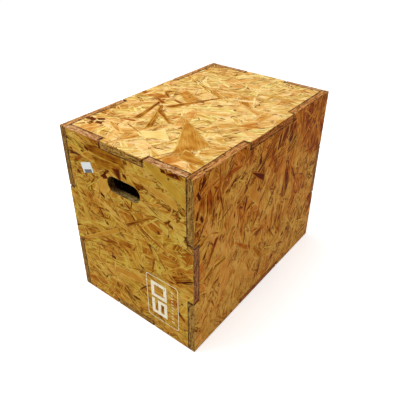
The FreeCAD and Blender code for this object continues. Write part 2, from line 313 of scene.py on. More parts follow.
def stir(tree, vector, spacing, reach, detail):
    """Moves a pattern about by up to half of reach, over the given spacing in metres."""
    noise = add_node(tree, "TexNoise", (vector, 1 / spacing, detail)).outputs["Color"]
    shift = add_node(tree, "VectorMath", (noise, (0.5,) * 3), "SUBTRACT")
    return add_node(tree, "VectorMath", (shift, (reach,) * 3, vector), "MULTIPLY_ADD")


def speckle(tree, spacing, detail):
    """Cloudy spots all over a piece, at the given spacing in metres."""
    coordinates = add_node(tree, "TexCoord").outputs["Object"]
    return add_node(tree, "TexNoise", (coordinates, 1 / spacing, detail))


# Strand board

# What is on top at a point of a strand board: how high its strand lies, its tone, the distance to its rim in
# widths of a rim line, and the place in its grain, in metres along and across it. At first, it is bare.
STRAND_STATE = (("Height", "Float"), ("Tone", "Float"), ("Rim", "Float"), ("Grain", "Vector"))
BARE = {"Height": -1.0, "Tone": 0.5, "Rim": 0.01, "Grain": (0.0, 0.0, 0.0)}
# A rim line is this wide, or this share of a narrow strand. A strand shifts a little where it bends.
RIM_LINE = 1.6 * MM
RIM_SHARE = 0.12
BEND = 0.6 * MM
# Factors that set the places in the grain of any two strands far apart.
LAYER_APART = (7.0,) * 3
LAID_APART = (31.0,) * 3
# Strands laid one by one lie above all layers: the height of the first, and the step to the next. Half of
# this share of the width comes or goes as the sides wander over 30 mm. The ends slant by a share of the
# width, and their fibres, 3 mm apart, break off over a share of the length.
LAID_HEIGHT = 1.6
LAID_STEP = 0.05
WANDER = 0.5
SLANT = 0.35
SPLINTER = 0.1
FIBRES = (60 * MM, 3 * MM, 1.0)
# Where a rim line fades out and where the painted highlight beside it does, in widths of the line, how pale
# that highlight is, and the range of a noise in which a rim line begins to show.
RIM_ENDS = (0.5, 1.1)
EDGE_HIGHLIGHT_ENDS = (1.1, 2.2)
EDGE_HIGHLIGHT = 0.36
RIM_BREAKS = (0.46, 0.62)
# Length and spacing of the growth lines in a strand, and the bundles of fibres in that spacing. The bundles
# are this share of the grain, and mostly dark, by this power. Then the mean of the grain, how strong it is in
# the strands that show it most and least, and the share of it in the smooth strands that are laid one by one.
GROWTH = (45 * MM, 4 * MM, 1.0)
BUNDLES = 1.6
BUNDLE_SHARE = 0.6
BUNDLE_POWER = 2.5
GRAIN_MEAN = 0.37
VIGOUR = (1.8, 0.2)
CALM = 0.2
# The range of a noise in which heartwood begins, less the board's own share, and how warm it is at most.
HEART_RANGE = (0.68, 0.88)
HEART_MOST = 0.8
# The usual range of a noise about its middle, 0.5.
NOISE_RANGE = (0.3, 0.7)
# Knots, in cells of this size: largest radius and soft rim in shares of a cell, and how dark they are.
KNOT_CELL = 34 * MM
KNOT_RADIUS, KNOT_RIM, KNOT_DARK = 0.16, 0.05, 0.85
# The strands curve over 120 mm, and their rims are ragged every 11 mm: spacing, reach and detail of each.
CURVES = (120 * MM, 30 * MM, 1.0)
RAGS = (11 * MM, 1.4 * MM, 2.0)

# Layers of a strand board, lowest first: turn in degrees, strand length and width in millimetres, share of
# the strands that are there, how high the layer lies, and how far its tones spread and from where.
LAYERS = (
    (8, 150, 34, 1.0, 0.00, 0.45, 0.33),
    (62, 120, 28, 0.55, 0.00, 0.50, 0.30),
    (-38, 130, 30, 0.55, 0.02, 0.50, 0.30),
    (26, 110, 22, 0.5, 0.05, 0.60, 0.24),
    (-68, 90, 18, 0.35, 0.05, 0.65, 0.22),
    (-14, 90, 14, 0.35, 0.10, 0.75, 0.17),
    (42, 80, 8, 0.10, 0.20, 0.85, 0.12),
    (-24, 75, 6, 0.11, 0.25, 0.90, 0.10),
    (6, 70, 5.0, 0.11, 0.35, 0.95, 0.12),
    (78, 50, 4.5, 0.05, 0.35, 0.95, 0.12),
    (-52, 46, 4.0, 0.06, 0.40, 0.95, 0.12),
    (-8, 50, 4.0, 0.07, 0.45, 0.80, 0.30),
    (15, 40, 3.6, 0.08, 0.50, 0.80, 0.30),
    (-30, 26, 3.4, 0.07, 0.50, 1.00, -0.10),
)

# Tones of the strands, from bark and heartwood to sapwood: place on the scale and colour.
STRAND_TONES = (
    (0.00, "#642a03"),
    (0.10, "#97560e"),
    (0.22, "#c0802b"),
    (0.38, "#d9a34e"),
    (0.54, "#e8bc69"),
    (0.76, "#f6d488"),
    (1.00, "#ffe8a6"),
)
# Yellow to olive sapwood and pinkish heartwood.
STRAND_HUES = tuple(zip(NOISE_RANGE, ("#f8ffe2", "#fff3ee")))
# The tone about which a board's tones spread.
MIDDLE_TONE = 0.55
# Tones of a sawn edge, from voids to the pale sides of strands, and of the walls of a hand slot, painted
# darker and more olive as shade.
EDGE_TONES = ((0.0, "#402614"), (0.22, "#86562f"), (0.52, "#b37d4b"), (1.0, "#dbb07e"))
SLOT_TONES = ((0.0, "#31230c"), (0.22, "#755a2a"), (0.52, "#a68a4a"), (1.0, "#d2bb7c"))
# On the scale of these tones: the reach of the cells and of the specks, and where they start. Painted shade
# darkens the walls of a hand slot from its left end to a little past its middle.
CELL_REACH, SPECK_REACH, EDGE_START = 0.75, 1.6, -0.65
LEFT_END_SHADE_SPAN = (-45 * MM, 20 * MM)


def new_group(name, vectors, numbers):
    """A node group with inputs of its own, which takes what is on top so far and gives what is then."""
    group = bpy.data.node_groups.new(name, "ShaderNodeTree")
    own = [(socket, "Vector") for socket in vectors] + [(socket, "Float") for socket in numbers]
    for in_out, sockets in (("INPUT", (*own, *STRAND_STATE)), ("OUTPUT", STRAND_STATE)):
        for socket, kind in sockets:
            group.interface.new_socket(socket, in_out=in_out, socket_type=f"NodeSocket{kind}")
    return group, add_node(group, "NodeGroupInput").outputs, add_node(group, "NodeGroupOutput")


def lay_on_top(tree, below, strand, output):
    """Keeps the higher of the strand below and the new one."""
    heights = (strand["Height"], below["Height"])
    wins = add_node(tree, "Math", heights, "GREATER_THAN")
    fill(tree, output, {"Height": add_node(tree, "Math", heights, "MAXIMUM")})
    for name, kind in (("Tone", "FLOAT"), ("Rim", "FLOAT"), ("Grain", "VECTOR")):
        fill(tree, output, {name: add_node(tree, "Mix", (wins, below[name], strand[name]), data_type=kind)})


def bend_over(tree, given):
    """Shifts a strand a little where it bends over the one below. It also has each layer worked out after the
    last, because the renderer has no room for all of them at once."""
    shift = (given["Height"], (BEND,) * 3, given["Vector"])
    return add_node(tree, "VectorMath", shift, "MULTIPLY_ADD")


def strand_layer_group():
    """A layer of strands that lie about one way: stretched cells, of which a share is shown, each at its own
    height."""
    vectors = ("Vector", "Offset", "Turn", "Size")
    numbers = ("Cover", "Lift", "Rim lines", "Spread", "Shift")
    group, given, output = new_group("Strand layer", vectors, numbers)
    place = (bend_over(group, given), given["Offset"], given["Turn"], given["Size"])
    local = add_node(group, "Mapping", place, vector_type="TEXTURE")
    cell = add_node(group, "TexVoronoi", (local, 1.0), voronoi_dimensions="2D").outputs["Color"]
    edge = add_node(group, "TexVoronoi", (local, 1.0), voronoi_dimensions="2D", feature="DISTANCE_TO_EDGE")
    draw = add_node(group, "SeparateColor", (cell,)).outputs
    rim = add_node(group, "Math", (edge, given["Rim lines"]), "MULTIPLY")
    tone = add_node(group, "Math", (draw["Blue"], given["Spread"], given["Shift"]), "MULTIPLY_ADD")
    shown = add_node(group, "Math", (draw["Red"], given["Cover"]), "LESS_THAN")
    lifted = add_node(group, "Math", (draw["Green"], given["Lift"]), "ADD")
    height = add_node(group, "Math", (lifted, shown), "MULTIPLY")
    metres = add_node(group, "VectorMath", (local, given["Size"]), "MULTIPLY")
    grain = add_node(group, "VectorMath", (cell, LAYER_APART, metres), "MULTIPLY_ADD")
    lay_on_top(group, given, {"Height": height, "Tone": tone, "Rim": rim, "Grain": grain}, output)
    return group


def placed_strand_group():
    """One strand laid on top of the layers at a given place: its middle, turn, length, width and taper. Its
    sides wander, and its ends are slanted and splintered, as the knife leaves them."""
    vectors = ("Vector", "Place", "Turn", "Size")
    group, given, output = new_group("Placed strand", vectors, ("Taper", "Own tone", "Lift"))
    place = (bend_over(group, given), given["Place"], given["Turn"])
    local = add_node(group, "Mapping", place, vector_type="TEXTURE")
    at = add_node(group, "SeparateXYZ", (local,)).outputs
    size = add_node(group, "SeparateXYZ", (given["Size"],)).outputs
    # Half the width here, with the taper, and what is left of it beside the point.
    along = add_node(group, "Math", (at["X"], size["X"]), "DIVIDE")
    narrow = add_node(group, "Math", (along, given["Taper"], 1.0), "MULTIPLY_ADD")
    wander = add_node(group, "TexNoise", (given["Vector"], 1 / (30 * MM), 2.0), noise_dimensions="2D")
    narrow = add_node(group, "Math", (wander, WANDER, narrow), "MULTIPLY_ADD")
    narrow = add_node(group, "Math", (narrow, WANDER / 2), "SUBTRACT")
    half = add_node(group, "Math", (narrow, size["Y"]), "MULTIPLY")
    half = add_node(group, "Math", (half, 0.5), "MULTIPLY")
    off = add_node(group, "Math", (at["Y"],), "ABSOLUTE")
    side = add_node(group, "Math", (half, off), "SUBTRACT")
    # What is left of half the length: a slanted end whose fibres broke off at different places.
    slant = add_node(group, "Math", (at["Y"], SLANT, at["X"]), "MULTIPLY_ADD")
    far = add_node(group, "Math", (slant,), "ABSOLUTE")
    fibres = add_node(group, "Mapping", {"Vector": local, "Scale": FIBRES}, vector_type="TEXTURE")
    broke = add_node(group, "TexNoise", (fibres, 1.0, 1.0), noise_dimensions="2D")
    share = add_node(group, "Math", (broke, SPLINTER, 0.5 - SPLINTER / 2), "MULTIPLY_ADD")
    reach = add_node(group, "Math", (size["X"], share), "MULTIPLY")
    end = add_node(group, "Math", (reach, far), "SUBTRACT")
    edge = add_node(group, "Math", (side, end), "MINIMUM")
    inside = add_node(group, "Math", (edge, 0.0), "GREATER_THAN")
    height = add_node(group, "Math", (inside, given["Lift"]), "MULTIPLY")
    rim = add_node(group, "Math", (edge, RIM_LINE), "DIVIDE")
    grain = add_node(group, "VectorMath", (given["Place"], LAID_APART, local), "MULTIPLY_ADD")
    strand = {"Height": height, "Tone": given["Own tone"], "Rim": rim, "Grain": grain}
    lay_on_top(group, given, strand, output)
    return group


def lay_strands(tree, flat, ragged, wood):
    """Lays the layers of strands on each other, and this board's large strands and knots on top of them."""

    def lay(group, turn, long, wide, inputs):
        both = {"Turn": (0.0, 0.0, math.radians(turn)), "Size": (long * MM, wide * MM, 1.0)}
        outputs = add_node(tree, "Group", {**both, **inputs, **state}, node_tree=group).outputs
        return {name: outputs[name] for name, _ in STRAND_STATE}

    layer = bpy.data.node_groups.get("Strand layer") or strand_layer_group()
    hand_laid = bpy.data.node_groups.get("Placed strand") or placed_strand_group()
    state = BARE
    seed = wood["seed"]
    for i, (turn, long, wide, cover, lift, spread, shift) in enumerate(LAYERS):
        # Steps that keep the patterns of any two boards and layers apart, in metres.
        offset = (0.37 * seed + 0.071 * i, 0.53 * seed - 0.113 * i, 0.0)
        rims = wide * MM / min(RIM_LINE, RIM_SHARE * wide * MM)
        inputs = {"Vector": ragged, "Offset": offset, "Cover": cover, "Lift": lift, "Rim lines": rims}
        inputs.update({"Spread": spread, "Shift": shift})
        state = lay(layer, wood["lie"] + turn, long, wide, inputs)
    near_flat = stir(tree, flat, *RAGS)
    for i, (u, v, turn, long, wide, taper, tone) in enumerate(wood["laid"]):
        inputs = {"Vector": near_flat, "Place": (u * MM, v * MM, 0.0), "Taper": taper, "Own tone": tone}
        inputs["Lift"] = LAID_HEIGHT + LAID_STEP * i
        state = lay(hand_laid, turn, long, wide, inputs)
    return state


def strand_grain(tree, place):
    """Growth lines along each strand, up to 4 mm apart, and its fibres in bundles of 2.5 mm, each paler or
    darker than the next. They are drawn about twice as coarse as in the wood, to show."""
    stretched = add_node(tree, "Mapping", {"Vector": place, "Scale": GROWTH}, vector_type="TEXTURE")
    growth = add_node(tree, "TexNoise", (stretched, 1.0, 3.0, 0.75), noise_dimensions="2D")
    split = add_node(tree, "TexVoronoi", (stretched, BUNDLES), voronoi_dimensions="2D").outputs["Color"]
    bundle = add_node(tree, "SeparateColor", (split,)).outputs["Red"]
    bundle = add_node(tree, "Math", (bundle, BUNDLE_POWER), "POWER")
    return add_node(tree, "Mix", (BUNDLE_SHARE, growth, bundle), data_type="FLOAT")


def heartwood(tree, flat, curved, wood):
    """Broad warm areas of heartwood, about 110 mm across, and more of them the way that warm points. On the
    right board that slope is painted shade, darker and warmer towards the board's top and back.
    """
    slope = add_node(tree, "VectorMath", (flat, (*wood["warm"], 0.0)), "DOT_PRODUCT")
    area = add_node(tree, "TexNoise", (curved, 1 / (110 * MM), 2.0))
    area = add_node(tree, "Math", (slope, area), "ADD")
    ends = [end - wood["heart"] for end in HEART_RANGE]
    return add_node(tree, "MapRange", (area, *ends, 0.0, HEART_MOST))


def strand_rims(tree, flat, distance):
    """Dark and broken lines of painted shade where a strand ends and shades the one below, and a pale painted
    highlight beside them where its raised edge would catch the light.
    """
    broken = add_node(tree, "TexNoise", (flat, 1 / (28 * MM), 2.0))
    broken = add_node(tree, "MapRange", (broken, *RIM_BREAKS))
    rim = add_node(tree, "MapRange", (distance, *RIM_ENDS, 1.0, 0.0))
    rim = add_node(tree, "Math", (rim, broken), "MULTIPLY")
    return rim, add_node(tree, "MapRange", (distance, *EDGE_HIGHLIGHT_ENDS, EDGE_HIGHLIGHT, 0.0))


def strand_tone(tree, flat, state, grain, edge_highlight, warm, wood):
    """Tone of a strand, moved by its growth lines, the painted highlight beside its rim, the heartwood (which
    on the right board carries painted shade) and slow changes over the board, and what kind of strand it is."""
    drift = add_node(tree, "TexNoise", (flat, 1 / (140 * MM), 1.0))
    # Each strand's place in its grain is far from the others', so a slow noise there is the same over a
    # strand and differs from one to the next. It says how strong its growth lines are, and its hue.
    kind = add_node(tree, "TexNoise", (state["Grain"], 0.7, 0.0), noise_dimensions="2D")
    vigour = add_node(tree, "MapRange", (kind, *NOISE_RANGE, *VIGOUR))
    # Soft shading inside a strand, which bends a little and is cut across the growth rings.
    cloud = add_node(tree, "TexNoise", (state["Grain"], 1 / (26 * MM), 1.0), noise_dimensions="2D")
    # The large strands laid one by one are smooth.
    calm = add_node(tree, "MapRange", (state["Height"], LAID_HEIGHT - LAID_STEP, LAID_HEIGHT, 1.0, CALM))
    streak = add_node(tree, "Math", (grain, GRAIN_MEAN), "SUBTRACT")
    streak = add_node(tree, "Math", (streak, calm), "MULTIPLY")
    # A slope of paler tone over the board; on the right board it is painted shade, darker towards its top and
    # back.
    fade = add_node(tree, "VectorMath", (flat, (*wood["fade"], 0.0)), "DOT_PRODUCT")
    # The painted highlight beside a strand's rim makes its tone paler.
    tone = add_node(tree, "Math", (state["Tone"], edge_highlight), "ADD")
    drifts, clouds = 0.3, 0.4
    for part, share in ((streak, vigour), (drift, drifts), (cloud, clouds), (warm, -0.12), (fade, 1.0)):
        tone = add_node(tree, "Math", (part, share, tone), "MULTIPLY_ADD")
    # The drift and the soft shading lie about 0.5, which is taken off again.
    base = MIDDLE_TONE + wood["pale"] - (MIDDLE_TONE + 0.5 * (drifts + clouds)) * wood["spread"]
    return add_node(tree, "Math", (tone, wood["spread"], base), "MULTIPLY_ADD"), kind


def knot_spots(tree, ragged, share):
    """Knots and bits of bark, up to 10 mm across, in a share of the cells."""
    cell = add_node(tree, "TexVoronoi", (ragged, 1 / KNOT_CELL), voronoi_dimensions="2D").outputs
    draw = add_node(tree, "SeparateColor", (cell["Color"],)).outputs["Red"]
    radius = add_node(tree, "MapRange", (draw, 1 - share, 1.0, 0.0, KNOT_RADIUS))
    inside = add_node(tree, "Math", (radius, cell["Distance"]), "SUBTRACT")
    return add_node(tree, "MapRange", (inside, 0.0, KNOT_RIM, 0.0, KNOT_DARK))


def strand_board_material(name, place, tint, wood):
    """Oriented strand board under a thin varnish: flat slivers of softwood pressed across each other, each
    with its own tone and grain, dark lines of painted shade where a sliver ends with a painted highlight
    beside them, knots, bits of bark and a satin shine."""
    material, tree, shader = new_material(name)
    flat = bench_vector(tree, place)
    curved = stir(tree, flat, *CURVES)
    ragged = stir(tree, curved, *RAGS)
    state = lay_strands(tree, flat, ragged, wood)
    grain = strand_grain(tree, state["Grain"])
    warm = heartwood(tree, flat, curved, wood)
    rim, edge_highlight = strand_rims(tree, flat, state["Rim"])
    tone, kind = strand_tone(tree, flat, state, grain, edge_highlight, warm, wood)
    shade = add_node(tree, "ValToRGB", (tone,), stops=STRAND_TONES)
    knot = knot_spots(tree, ragged, wood["knots"])
    hue = add_node(tree, "ValToRGB", (kind,), stops=STRAND_HUES)
    for factor, over, blend in (
        # Rim lines darken the colour: painted shade where a strand's end shades the one below.
        (rim, linear("#96662f"), "MULTIPLY"),
        (knot, linear("#54250f"), "MIX"),
        (1.0, hue, "MULTIPLY"),
        (warm, linear("#f0c694"), "MULTIPLY"),
        (1.0, (*tint, 1.0), "MULTIPLY"),
    ):
        shade = add_node(tree, "Mix", (factor, shade, over), data_type="RGBA", blend_type=blend)
    rough = add_node(tree, "MapRange", (grain, 0.0, 1.0, 0.40, 0.60))
    # Real strands lie up to 0.4 mm above each other, and their growth lines stand 0.05 mm. The relief is
    # drawn four to ten times as high, to show.
    relief = add_node(tree, "Math", (state["Height"], 1.8 * MM), "MULTIPLY")
    for part, rise in ((grain, 0.5 * MM), (rim, -0.3 * MM)):
        relief = add_node(tree, "Math", (part, rise, relief), "MULTIPLY_ADD")
    bump = add_node(tree, "Bump", {"Height": relief, "Strength": 0.8, "Distance": 1.0, "Filter Width": 0.8})
    fill(tree, shader, {"Base Color": shade, "Specular IOR Level": 0.01, "Roughness": rough, "Normal": bump})
    return material


def sawn_edge_material(name, place, tones, tint, shaded_left_end=False):
    """Sawn edge of a strand board: ends and sides of thin strands in layers, pinkish brown and flecked with
    dark voids, dull where the saw tore the fibres. The layers are drawn 2.6 mm thick, coarser than the real
    0.7 mm, to show."""
    material, tree, shader = new_material(name)
    bench = bench_vector(tree, place)
    layer = {"Vector": stir(tree, bench, 20 * MM, 2 * MM, 1.0), "Scale": (14 * MM, 14 * MM, 2.6 * MM)}
    layered = add_node(tree, "Mapping", layer, vector_type="TEXTURE")
    cell = add_node(tree, "TexVoronoi", (layered, 1.0)).outputs["Color"]
    draw = add_node(tree, "SeparateColor", (cell,)).outputs["Red"]
    speck = add_node(tree, "TexNoise", (bench, 1 / (3.4 * MM), 2.0))
    specks = add_node(tree, "Math", (speck, SPECK_REACH, EDGE_START), "MULTIPLY_ADD")
    tone = add_node(tree, "Math", (draw, CELL_REACH, specks), "MULTIPLY_ADD")
    shade = add_node(tree, "ValToRGB", (tone,), stops=tones)
    shade = add_node(tree, "Mix", (1.0, shade, linear(tint)), data_type="RGBA", blend_type="MULTIPLY")
    # Painted shade: the slot walls grow darker towards the slot's left end, where its left wall lies in
    # shadow.
    if shaded_left_end:
        along = add_node(tree, "SeparateXYZ", (bench,)).outputs["X"]
        left_end_shade = add_node(tree, "MapRange", (along, *LEFT_END_SHADE_SPAN, 0.9, 0.0))
        left_end_shade_colour = linear("#6b4630")
        shade = add_node(tree, "Mix", (left_end_shade, shade, left_end_shade_colour), data_type="RGBA", blend_type="MULTIPLY")
    relief = add_node(tree, "Math", (tone, 0.3 * MM), "MULTIPLY")
    bump = add_node(tree, "Bump", {"Height": relief, "Strength": 0.6, "Distance": 1.0})
    fill(tree, shader, {"Base Color": shade, "Roughness": 0.75, "Specular IOR Level": 0.05, "Normal": bump})
    return material


# Other materials


def glue_line_material():
    """Wood glue and dust in the eased edges of a joint: a brown line, dark in places, with a little grit."""
    material, tree, shader = new_material("Glue line")
    grit = speckle(tree, 9 * MM, 2.0)
    shade = add_node(tree, "ValToRGB", (grit,), stops=((0.38, "#24160a"), (0.66, "#8f6234")))
    fill(tree, shader, {"Base Color": shade, "Roughness": 0.8, "Specular IOR Level": 0.05})
    return material


def paint_material(paint):
    """Screen-printed matt paint on rough board: a thin white film that skips low spots between strands."""
    material, tree, shader = new_material("Screen paint")
    worn = add_node(tree, "MapRange", (speckle(tree, 7 * MM, 3.0), 0.56, 0.72, 0.0, 0.7))
    shade = add_node(tree, "Mix", (worn, (*paint, 1.0), linear("#a9813e")), data_type="RGBA")
    fill(tree, shader, {"Base Color": shade, "Roughness": 0.6})
    return material


def paper_material(name, shade):
    """Matt label paper, bare or printed: it shows the faint cloud of its fibres and has no shine."""
    material, tree, shader = new_material(name)
    darker = [c * 0.82 for c in shade]
    mixed = add_node(
        tree, "Mix", (speckle(tree, 4 * MM, 4.0), (*shade, 1.0), (*darker, 1.0)), data_type="RGBA"
    )
    fill(tree, shader, {"Base Color": mixed, "Roughness": 0.75})
    return material


def steel_material(steel):
    """Drawn steel wire under a film of varnish: dull grey-brown metal with faint turning marks."""
    material, tree, shader = new_material("Drawn steel")
    marks = speckle(tree, 1.2 * MM, 2.0)
    darker = [c * 0.6 for c in steel]
    mixed = add_node(tree, "Mix", (marks, (*steel, 1.0), (*darker, 1.0)), data_type="RGBA")
    rough = add_node(tree, "MapRange", (marks, 0.0, 1.0, 0.35, 0.6))
    fill(tree, shader, {"Base Color": mixed, "Metallic": 1.0, "Roughness": rough})
    return material


# Modelling by hand

# Least share of a face's normal along the way that it faces, and of one that is quite flat.
FACING = 0.9
FLAT = 0.99
# The bend below which two faces are one, the least bend that is rounded, and the most that looks smooth.
ONE_FACE = math.radians(1)
SHARP = math.radians(30)
SMOOTH_BOARD = math.radians(8)
SMOOTH_NAIL = math.radians(35)


def mode(name):
    """Switches the active piece to edit mode or to object mode."""
    bpy.ops.object.mode_set(mode=name)


def choose(*pieces):
    """Selects these pieces alone, with the first one active."""
    bpy.ops.object.select_all(action="DESELECT")
    for piece in pieces:
        piece.select_set(True)
    bpy.context.view_layer.objects.active = pieces[0]


def pick(kind, test):
    """Selects the faces, edges or vertices of the piece in edit mode that pass the test."""
    bpy.ops.mesh.select_mode(type={"faces": "FACE", "edges": "EDGE", "verts": "VERT"}[kind])
    bpy.ops.mesh.select_all(action="DESELECT")
    mesh = bmesh.from_edit_mesh(bpy.context.object.data)
    mesh.normal_update()
    for part in getattr(mesh, kind):
        if test(part):
            part.select_set(True)
    bmesh.update_edit_mesh(bpy.context.object.data)


def apply_place():
    """Moves the place, turn and scale of the selected pieces into their meshes."""
    bpy.ops.object.transform_apply(location=True, rotation=True, scale=True)


def new_piece(add, scale=(1, 1, 1), **settings):
    """A piece from an operator that adds a mesh, with its place and scale in the mesh."""
    bpy.ops.object.select_all(action="DESELECT")
    add(**settings)
    bpy.context.object.scale = scale
    apply_place()
    return bpy.context.object


def join(pieces):
    """Joins pieces to one, each with its place in the mesh."""
    choose(*pieces)
    apply_place()
    bpy.ops.object.join()
    return bpy.context.object


def pick_all():
    """Selects all of the piece in edit mode."""
    bpy.ops.mesh.select_all(action="SELECT")


def extrude(step):
    """Draws the selected faces out by a step."""
    bpy.ops.mesh.extrude_region_move(TRANSFORM_OT_translate={"value": step})


def apply_modifiers(piece):
    """Applies the piece's modifiers in their order."""
    bpy.context.view_layer.objects.active = piece
    for modifier in list(piece.modifiers):
        bpy.ops.object.modifier_apply(modifier=modifier.name)


def settle(piece, name, place):
    """Moves a piece from the bench to its place in the box, in its mesh."""
    choose(piece)
    piece.matrix_world = place @ piece.matrix_world
    apply_place()
    piece.name = piece.data.name = name


def turn_of(node):
    """The turn that brings a board from the bench to its place."""
    return Euler([math.radians(a) for a in BOARDS[node]["stand"]]).to_matrix()


def place_of(node):
    """The matrix that brings a board from the bench, with its outer face up at zero, to its place."""
    low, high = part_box(node)
    turn = turn_of(node)
    outward = turn @ Vector((0, 0, 1))
    half = sum(abs(outward[i]) * (high - low)[i] for i in range(3)) / 2
    return Matrix.Translation((low + high) / 2 + outward * half) @ turn.to_4x4()


def size_of(node):
    """Length, width and thickness of a board on the bench."""
    low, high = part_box(node)
    return Vector([abs(s) for s in turn_of(node).transposed() @ (high - low)])


def in_slot(point, slot_at, sizes, margin):
    """Whether a point of a board on the bench is in its hand slot, or within a margin of it."""
    return (
        slot_at is not None
        and abs(point.x) < sizes.slot_length / 2 + margin
        and abs(point.y - slot_at) < sizes.slot_height / 2 + margin
    )


def model_board(size, lines, outer, sizes, slot_at):
    """Models a finger-jointed board on the bench, from a blank without its fingers.

    Lines are half the length of the middle finger on the ends and on the sides, and outer says whether the
    fingers are the outer thirds of that edge or its middle third."""
    board = size.z
    blank = (size.x - 2 * board, size.y - 2 * board, board)
    piece = new_piece(bpy.ops.mesh.primitive_cube_add, blank, size=1, location=(0, 0, -board / 2))
    mode("EDIT")
    for axis in (0, 1):
        for sign in (-1, 1):
            point, normal = Vector(), Vector()
            point[1 - axis] = sign * lines[axis]
            normal[1 - axis] = 1
            pick_all()
            bpy.ops.mesh.bisect(plane_co=point, plane_no=normal)
    # The fingers grow out of the sides first, so that outer fingers take the corners along.
    for axis in (1, 0):
        for sign in (-1, 1):
            reach = size[axis] / 2 - board

            def finger(face):
                middle = face.calc_center_median()
                return (
                    face.normal[axis] * sign > FACING
                    and abs(middle[axis] * sign - reach) < TINY
                    and (abs(middle[1 - axis]) > lines[axis]) == outer[axis]
                )

            pick("faces", finger)
            step = Vector()
            step[axis] = sign * board
            extrude(step)
    pick_all()
    bpy.ops.mesh.remove_doubles(threshold=TINY)
    bpy.ops.mesh.dissolve_limited(angle_limit=ONE_FACE)

    def finger_tip(edge):
        a, b = (v.co for v in edge.verts)
        if abs(a.z - b.z) < board / 2:
            return False
        return any(
            abs(abs(a[axis]) - size[axis] / 2) < TINY and abs(abs(a[1 - axis]) - lines[axis]) < TINY
            for axis in (0, 1)
        )

    pick("edges", finger_tip)
    bpy.ops.mesh.bevel(offset=sizes.finger_corner, segments=5, affect="EDGES")
    mode("OBJECT")
    if slot_at is not None:
        cut_hand_slot(piece, slot_at, board, sizes)
    ease_edges(piece, size, slot_at, sizes)
    return piece


def cut_hand_slot(piece, slot_at, board, sizes):
    """Cuts the hand slot with a round bar drawn out to its length."""
    radius = sizes.slot_height / 2
    sides = 64
    cutter = new_piece(
        bpy.ops.mesh.primitive_cylinder_add, vertices=sides, radius=radius, depth=3 * board,
        location=(0, slot_at, -board / 2), rotation=(0, 0, math.pi / sides),
    )
    mode("EDIT")
    for sign in (-1, 1):
        pick("verts", lambda v: v.co.x * sign > 0)
        bpy.ops.transform.translate(value=(sign * (sizes.slot_length / 2 - radius), 0, 0))
    mode("OBJECT")
    cut = piece.modifiers.new("Hand slot", "BOOLEAN")
    cut.operation = "DIFFERENCE"
    cut.solver = "EXACT"
    cut.object = cutter
    apply_modifiers(piece)
    bpy.data.objects.remove(cutter)


def ease_edges(piece, size, slot_at, sizes):
    """Rounds the board's edges on the outside of the box, and the rims of the hand slot."""

    def planes(point):
        depths = (abs(point.z), abs(abs(point.x) - size.x / 2), abs(abs(point.y) - size.y / 2))
        return {k for k, depth in enumerate(depths) if depth < TINY}

    def radius(edge):
        if len(edge.link_faces) < 2 or edge.calc_face_angle(0) < SHARP:
            return 0
        a, b = (v.co for v in edge.verts)
        if in_slot(a, slot_at, sizes, MM) and in_slot(b, slot_at, sizes, MM):
            return sizes.slot_round
        return sizes.arris if planes(a) & planes(b) else 0

    choose(piece)
    mode("EDIT")
    widest = sizes.slot_round
    for width in (sizes.slot_round, sizes.arris):
        pick("edges", lambda e: abs(radius(e) - width) < TINY)
        bpy.ops.transform.edge_bevelweight(value=width / widest)
    mode("OBJECT")
    rounding = piece.modifiers.new("Rounding", "BEVEL")
    rounding.limit_method = "WEIGHT"
    rounding.width = widest
    rounding.segments = 4
    rounding.use_clamp_overlap = False
    apply_modifiers(piece)


# The materials of a board, in the order of its slots.
STRANDS, SAWN_ENDS, SAWN_SIDES, GLUE, SHADED_SLOT_WALLS = range(5)


def dress_board(piece, size, materials, sizes, slot_at):
    """Gives a board on the bench its strand faces, sawn edges, glue lines and slot walls painted darker as
    shade.
    """
    for material in materials:
        piece.data.materials.append(material)
    for face in piece.data.polygons:
        near = sorted((abs(face.center.z), size.x / 2 - abs(face.center.x), size.y / 2 - abs(face.center.y)))
        if abs(face.normal.z) > FLAT:
            face.material_index = STRANDS
        elif in_slot(face.center, slot_at, sizes, sizes.slot_round):
            face.material_index = SHADED_SLOT_WALLS
        elif TINY < near[0] < sizes.arris < near[1]:
            face.material_index = GLUE
        else:
            face.material_index = SAWN_ENDS if abs(face.normal.x) > abs(face.normal.y) else SAWN_SIDES


def make_board(context, node, lines, outer, slot_at=None):
    """One board from blank to its place, with its materials."""
    sizes, colours = context.scene.plyo_sizes, context.scene.plyo_colours
    wood, size, place = BOARDS[node], size_of(node), place_of(node)
    piece = model_board(size, lines, outer, sizes, slot_at)
    title = node.replace("_", " ")
    materials = [
        strand_board_material(f"Strand board, {title}", place, getattr(colours, wood["tint"]), wood),
        sawn_edge_material(f"Sawn ends, {title}", place, EDGE_TONES, wood["edge"][0]),
        sawn_edge_material(f"Sawn sides, {title}", place, EDGE_TONES, wood["edge"][1]),
        bpy.data.materials.get("Glue line") or glue_line_material(),
    ]
    if slot_at is not None:
        # The hand slot's walls: darker tones and a darker left end, both painted shade inside the slot.
        materials.append(sawn_edge_material(f"Handled edge, {title}", place, SLOT_TONES, "#ffffff", True))
    dress_board(piece, size, materials, sizes, slot_at)
    settle(piece, f"{node}_board", place)
    bpy.ops.object.shade_smooth_by_angle(angle=SMOOTH_BOARD)
    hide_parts(node)
    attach(piece, "root")


# Operators


class PLYO_OT_landing_boards(bpy.types.Operator):
    """Models the top and bottom boards, with a tab in the middle of each edge"""

    bl_idname = "plyo.landing_boards"
    bl_label = "Top and bottom boards"

    def execute(self, context):
        sizes = context.scene.plyo_sizes
        lines = (sizes.depth_tab / 2, sizes.width_tab / 2)
        for node in ("top_panel", "bottom_panel"):
            make_board(context, node, lines, (False, False))
        return {"FINISHED"}


